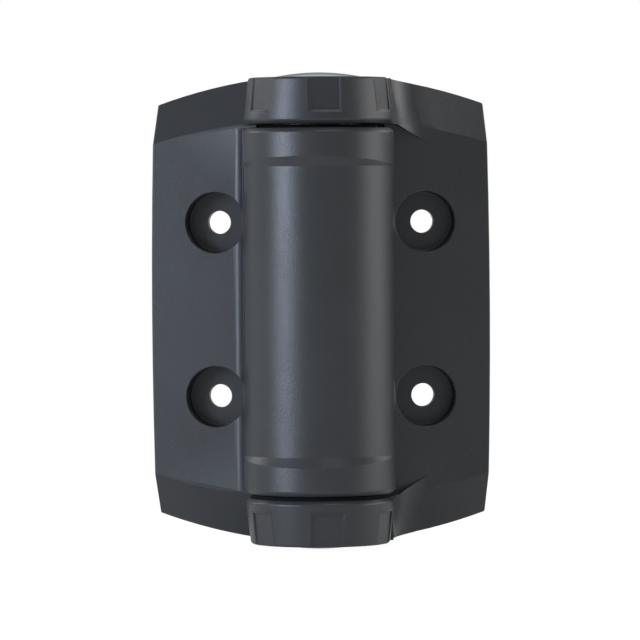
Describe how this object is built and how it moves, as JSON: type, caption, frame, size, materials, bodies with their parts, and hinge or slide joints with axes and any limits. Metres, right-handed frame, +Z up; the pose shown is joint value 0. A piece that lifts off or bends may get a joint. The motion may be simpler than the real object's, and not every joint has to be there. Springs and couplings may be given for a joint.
{
  "type": "self-closing gate hinge",
  "caption": "Self-closing gate hinge: a round spring barrel with a moulded leaf turns between two knuckles on a second bevelled leaf, under domed end caps.",
  "frame": {"origin": "on the pivot axis, half way up the barrel", "axes": "+Z up along the pivot axis; the knuckle leaf lies flat towards +X with its back at +Y, so the hinge's front faces -Y; the barrel leaf points towards -X and is stored where the free hinge rests, 15 degrees past flat"},
  "size_m": [0.0981, 0.0557, 0.1378],
  "materials": {
    "leaf_polymer": "dark grey glass-filled nylon, moulded with a fine satin grain",
    "cap_polymer": "near-black moulded polymer, smooth",
    "die_cast_zinc": "plain die-cast zinc, dull grey",
    "ring_steel": "stainless spring steel strip",
    "spring_steel": "drawn stainless spring wire",
    "acetal": "natural white acetal, moulded"
  },
  "bodies": {
    "post_side": {"knuckle_leaf": "leaf_polymer", "lock_ring": "die_cast_zinc", "retaining_rings": "ring_steel", "lower_pivot": "die_cast_zinc", "lower_washer": "acetal", "bottom_cap": "cap_polymer"},
    "gate_side": {"barrel_leaf": "leaf_polymer", "upper_bush": "acetal", "lower_bush": "acetal", "upper_washer": "acetal", "spring_anchor": "acetal", "spring_guide": "acetal", "torsion_spring": "spring_steel"},
    "tension_cup": {"spring_cup": "acetal", "lock_spring": "spring_steel"},
    "lock_adjuster": {"adjuster": "die_cast_zinc"},
    "upper_cap": {"top_cap": "cap_polymer"}
  },
  "joints": [
    {"name": "gate_swing", "type": "hinge", "parent": "post_side", "child": "gate_side", "pos_m": [0, 0, 0], "axis": [0, 0, 1], "range_deg": [0, 195], "stiffness_Nm_per_rad": 0.6, "springref_deg": -60.16, "deforming": ["torsion_spring"]},
    {"name": "tension_turn", "type": "hinge", "parent": "post_side", "child": "tension_cup", "pos_m": [0, 0, 0], "axis": [0, 0, 1], "range_deg": [-300, 60], "deforming": ["torsion_spring"]},
    {"name": "lock_press", "type": "slide", "parent": "tension_cup", "child": "lock_adjuster", "axis": [0, 0, -1], "range_m": [0, 0.0026], "stiffness_N_per_m": 3000, "springref_m": -0.002, "deforming": ["lock_spring"]},
    {"name": "cap_lift", "type": "slide", "parent": "post_side", "child": "upper_cap", "axis": [0, 0, 1], "range_m": [0, 0.012]}
  ]
}
